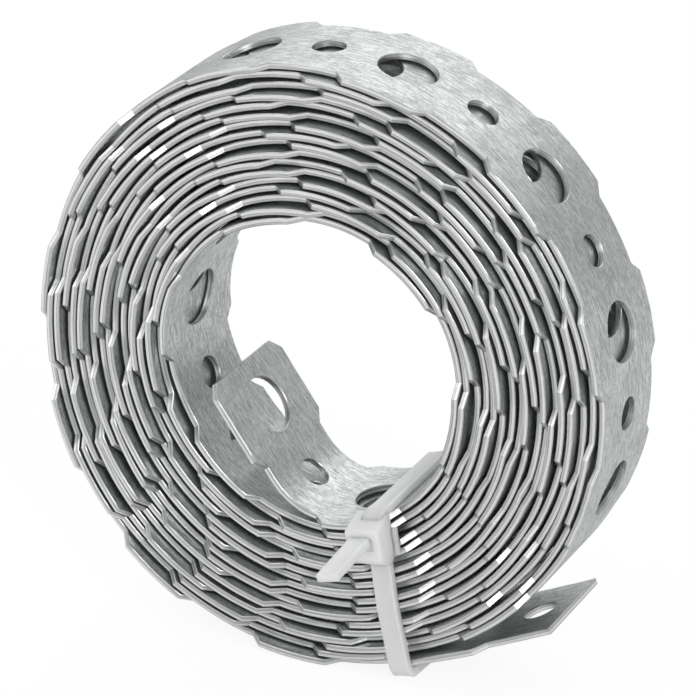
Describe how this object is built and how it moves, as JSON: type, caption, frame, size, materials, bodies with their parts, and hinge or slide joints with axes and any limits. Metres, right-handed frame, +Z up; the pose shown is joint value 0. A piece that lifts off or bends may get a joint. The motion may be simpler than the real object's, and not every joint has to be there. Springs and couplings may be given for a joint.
{
  "type": "perforated metal strap coil",
  "caption": "Coil of wavy-edged perforated galvanised steel fixing strap with both ends sprung free, held by a nylon cable tie.",
  "frame": {"origin": "on the floor, below the middle of the whole object's box; the coil stands on its rim", "axes": "+Z up; +Y along the level axis of the coil, towards its back, so the end with the tie head faces -Y; +X to the right seen from that end"},
  "size_m": [0.073, 0.0298, 0.0763],
  "materials": {
    "galvanised_steel": "bright hot-dip galvanised, fine spangle, lightly scratched",
    "natural_nylon": "translucent natural nylon, satin"
  },
  "bodies": {
    "root": {"strap": "galvanised_steel", "cable_tie": "natural_nylon"}
  },
  "joints": []
}
